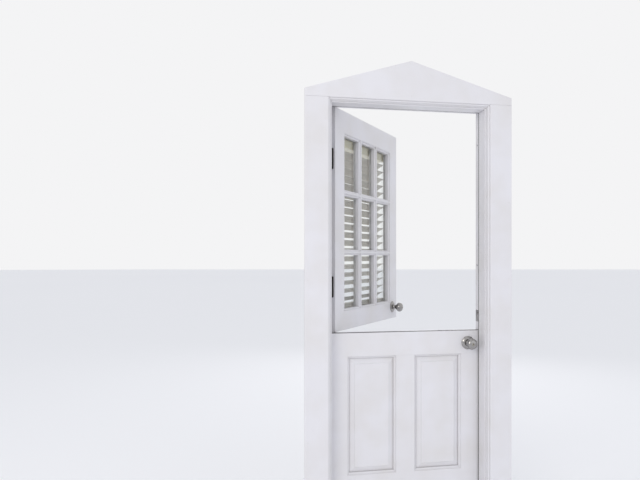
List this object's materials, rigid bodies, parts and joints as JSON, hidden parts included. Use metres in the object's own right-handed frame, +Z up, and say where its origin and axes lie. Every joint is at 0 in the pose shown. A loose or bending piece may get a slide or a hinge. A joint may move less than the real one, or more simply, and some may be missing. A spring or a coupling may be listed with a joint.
{
  "type": "dutch stable door",
  "caption": "Dutch stable door in its painted frame: glazed upper leaf with a blind, panelled lower leaf, each hung and latched by itself.",
  "frame": {"origin": "on the sill's underside, at the middle of the doorway, in the plane of the shut leaves' outer faces", "axes": "+Z up, -Y outdoors, +Y indoors (the leaves open that way), -X the hinge side"},
  "size_m": [1.046, 0.7668, 2.276],
  "materials": {
    "white_paint": "white satin paint on softwood",
    "aluminium": "mill finish, ribbed",
    "seal_rubber": "soft matt",
    "satin_nickel": "satin nickel plate",
    "key_plug_metal": "machined",
    "dark_bronze": "oil-rubbed bronze",
    "clear_glass": "clear float",
    "cream_enamel": "baked enamel",
    "blind_slat": "satin",
    "cord": "braided",
    "clear_plastic": "clear moulded"
  },
  "bodies": {
    "frame": {"hinge_jamb": "white_paint", "strike_jamb": "white_paint", "head_jamb": "white_paint", "sill": "white_paint", "threshold": "aluminium", "casing_left": "white_paint", "casing_right": "white_paint", "head_casing": "white_paint", "mould_left": "white_paint", "mould_right": "white_paint", "mould_head": "white_paint", "door_stops": "white_paint", "weatherstrip": "seal_rubber", "strike_plates": "satin_nickel", "hinge_plates_jamb": "dark_bronze", "hinge_pins": "dark_bronze"},
    "upper_leaf": {"upper_hinge_stile": "white_paint", "upper_lock_stile": "white_paint", "upper_top_rail": "white_paint", "upper_bottom_rail": "white_paint", "upper_muntins": "white_paint", "upper_glass_panes": "clear_glass", "upper_glazing_beads": "white_paint", "upper_bottom_seal": "seal_rubber", "upper_hinge_plates": "dark_bronze", "upper_rose_outer": "satin_nickel", "upper_rose_inner": "satin_nickel", "upper_latch_case": "satin_nickel", "barrel_bolt_plate": "dark_bronze", "blind_headrail": "cream_enamel", "blind_slats": "blind_slat", "blind_bottom_rail": "blind_slat", "blind_cords": "cord", "blind_wand": "clear_plastic", "blind_brackets": "cream_enamel"},
    "lower_leaf": {"lower_hinge_stile": "white_paint", "lower_lock_stile": "white_paint", "lower_top_rail": "white_paint", "lower_bottom_rail": "white_paint", "lower_mullion": "white_paint", "lower_panel_left": "white_paint", "lower_panel_right": "white_paint", "lower_top_seal": "seal_rubber", "lower_sweep": "seal_rubber", "lower_hinge_plates": "dark_bronze", "lower_rose_outer": "satin_nickel", "lower_rose_inner": "satin_nickel", "lower_latch_case": "satin_nickel", "barrel_bolt_keeper": "dark_bronze"},
    "upper_knobs": {"upper_knob_outer": "satin_nickel", "upper_knob_inner": "satin_nickel"},
    "upper_key": {"upper_key_plug": "key_plug_metal"},
    "upper_button": {"upper_turn_button": "satin_nickel"},
    "upper_latch": {"upper_latch_bolt": "satin_nickel"},
    "lower_knobs": {"lower_knob_outer": "satin_nickel", "lower_knob_inner": "satin_nickel"},
    "lower_key": {"lower_key_plug": "key_plug_metal"},
    "lower_button": {"lower_turn_button": "satin_nickel"},
    "lower_latch": {"lower_latch_bolt": "satin_nickel"},
    "barrel_bolt": {"barrel_bolt_rod": "dark_bronze"}
  },
  "joints": [
    {"name": "upper_leaf_swing", "type": "hinge", "parent": "frame", "child": "upper_leaf", "pos_m": [-0.3825, 0.051, 1.5395], "axis": [0, 0, 1], "range_deg": [-50.3, 59.7]},
    {"name": "lower_leaf_swing", "type": "hinge", "parent": "frame", "child": "lower_leaf", "pos_m": [-0.3825, 0.051, 0.522], "axis": [0, 0, 1], "range_deg": [0, 110]},
    {"name": "upper_knob_turn", "type": "hinge", "parent": "upper_leaf", "child": "upper_knobs", "pos_m": [0.08919, 0.57375, 1.067], "axis": [-0.7694, 0.6388, 0], "range_deg": [0, 60], "stiffness_Nm_per_rad": 0.3},
    {"name": "upper_latch_slide", "type": "slide", "parent": "upper_leaf", "child": "upper_latch", "axis": [0.6388, 0.7694, 0], "range_m": [-0.011, 0]},
    {"name": "upper_key_turn", "type": "hinge", "parent": "upper_knobs", "child": "upper_key", "pos_m": [0.08919, 0.57375, 1.067], "axis": [-0.7694, 0.6388, 0], "range_deg": [0, 90]},
    {"name": "upper_button_turn", "type": "hinge", "parent": "upper_knobs", "child": "upper_button", "pos_m": [0.08919, 0.57375, 1.067], "axis": [-0.7694, 0.6388, 0], "range_deg": [0, 90]},
    {"name": "lower_knob_turn", "type": "hinge", "parent": "lower_leaf", "child": "lower_knobs", "pos_m": [0.321, 0.022, 0.938], "axis": [0, 1, 0], "range_deg": [0, 60], "stiffness_Nm_per_rad": 0.3},
    {"name": "lower_latch_slide", "type": "slide", "parent": "lower_leaf", "child": "lower_latch", "axis": [1, 0, 0], "range_m": [-0.011, 0]},
    {"name": "lower_key_turn", "type": "hinge", "parent": "lower_knobs", "child": "lower_key", "pos_m": [0.321, 0.022, 0.938], "axis": [0, 1, 0], "range_deg": [0, 90]},
    {"name": "lower_button_turn", "type": "hinge", "parent": "lower_knobs", "child": "lower_button", "pos_m": [0.321, 0.022, 0.938], "axis": [0, 1, 0], "range_deg": [0, 90]},
    {"name": "barrel_bolt_slide", "type": "slide", "parent": "upper_leaf", "child": "barrel_bolt", "axis": [0, 0, -1], "range_m": [0, 0.026]}
  ],
  "couplings": [
    {"joint": "upper_latch_slide", "follows": "upper_knob_turn", "m_per_rad": -0.0105},
    {"joint": "lower_latch_slide", "follows": "lower_knob_turn", "m_per_rad": -0.0105}
  ]
}
